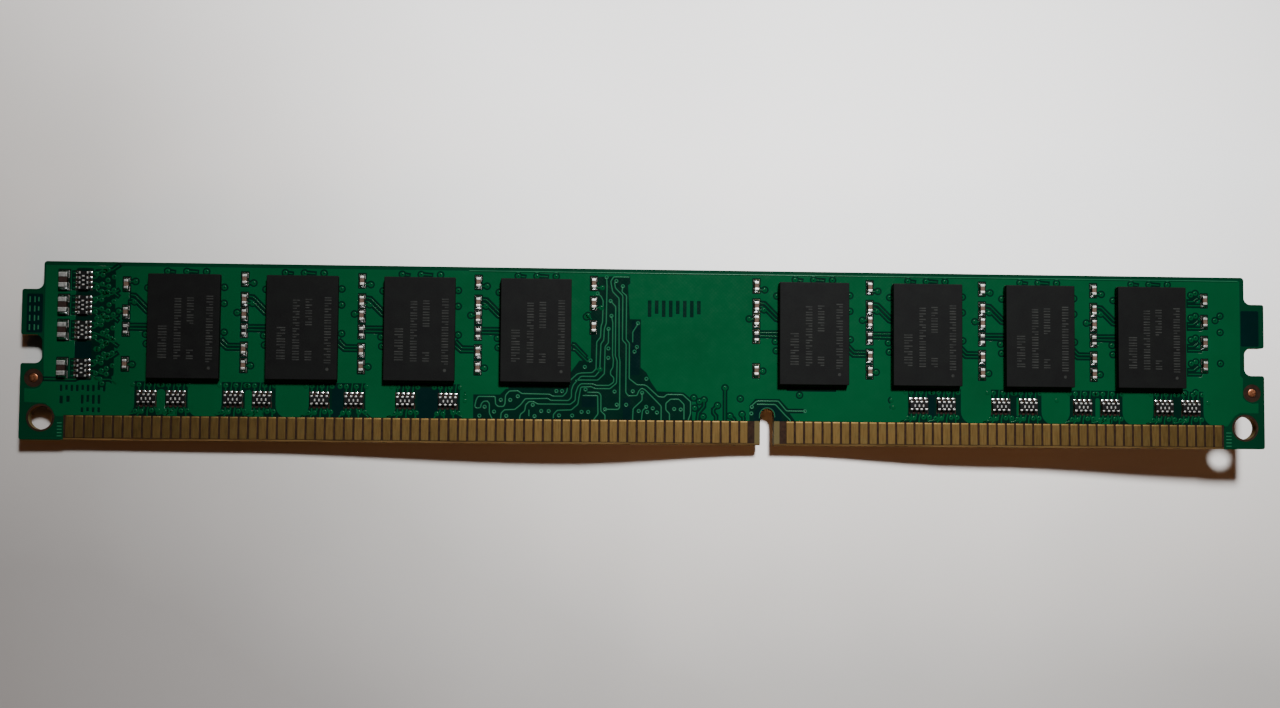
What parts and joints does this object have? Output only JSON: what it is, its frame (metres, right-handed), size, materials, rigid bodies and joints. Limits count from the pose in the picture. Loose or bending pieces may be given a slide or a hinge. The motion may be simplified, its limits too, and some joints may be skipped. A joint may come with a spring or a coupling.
{
  "type": "memory module",
  "caption": "Very-low-profile desktop memory module: a green circuit board with a notched gold contact edge, black memory packages on both sides, and rows of chip resistors and capacitors.",
  "frame": {"origin": "under the middle of the board, on the surface that the lower packages rest on", "axes": "+X along the contact edge from the long contact row to the short one, +Y from the contact edge to the plain edge, +Z out of the upper component side"},
  "size_m": [0.1334, 0.0188, 0.0034],
  "materials": {
    "laminate": "glass-epoxy laminate, cut edges bare",
    "solder_mask": "green solder mask, satin gloss",
    "gold_plate": "gold plate over nickel, lightly scuffed",
    "bare_copper": "bare copper",
    "mould_compound": "fine-grained black mould compound",
    "package_substrate": "dark green package laminate",
    "solder": "bright solder",
    "tinned_pad": "tinned copper",
    "tin_plate": "matt tin plate",
    "alumina": "white alumina",
    "overcoat": "black resistor overcoat",
    "capacitor_ceramic": "tan capacitor ceramic",
    "bulk_capacitor_ceramic": "dark brown capacitor ceramic"
  },
  "bodies": {
    "root": {"array_ceramics_lower": "alumina", "array_ceramics_upper": "alumina", "array_overcoats_lower": "overcoat", "array_overcoats_upper": "overcoat", "array_terminals_lower": "tin_plate", "array_terminals_upper": "tin_plate", "board_laminate": "laminate", "bulk_capacitor_bodies_lower": "bulk_capacitor_ceramic", "bulk_capacitor_bodies_upper": "bulk_capacitor_ceramic", "bulk_capacitor_terminals_lower": "tin_plate", "bulk_capacitor_terminals_upper": "tin_plate", "capacitor_bodies_lower": "capacitor_ceramic", "capacitor_bodies_upper": "capacitor_ceramic", "capacitor_terminals_lower": "tin_plate", "capacitor_terminals_upper": "tin_plate", "configuration_memory_body": "mould_compound", "configuration_memory_terminals": "tin_plate", "contacts_long_row_lower": "gold_plate", "contacts_long_row_upper": "gold_plate", "contacts_short_row_lower": "gold_plate", "contacts_short_row_upper": "gold_plate", "memory_mould_lower_1": "mould_compound", "memory_mould_lower_2": "mould_compound", "memory_mould_lower_3": "mould_compound", "memory_mould_lower_4": "mould_compound", "memory_mould_lower_5": "mould_compound", "memory_mould_lower_6": "mould_compound", "memory_mould_lower_7": "mould_compound", "memory_mould_lower_8": "mould_compound", "memory_mould_upper_1": "mould_compound", "memory_mould_upper_2": "mould_compound", "memory_mould_upper_3": "mould_compound", "memory_mould_upper_4": "mould_compound", "memory_mould_upper_5": "mould_compound", "memory_mould_upper_6": "mould_compound", "memory_mould_upper_7": "mould_compound", "memory_mould_upper_8": "mould_compound", "package_substrates_lower": "package_substrate", "package_substrates_upper": "package_substrate", "pads_lower": "tinned_pad", "pads_upper": "tinned_pad", "resistor_ceramics_lower": "alumina", "resistor_ceramics_upper": "alumina", "resistor_overcoats_lower": "overcoat", "resistor_overcoats_upper": "overcoat", "resistor_terminals_lower": "tin_plate", "resistor_terminals_upper": "tin_plate", "solder_balls_lower": "solder", "solder_balls_upper": "solder", "solder_lower": "solder", "solder_mask_lower": "solder_mask", "solder_mask_upper": "solder_mask", "solder_upper": "solder", "test_dots": "bare_copper"}
  },
  "joints": []
}
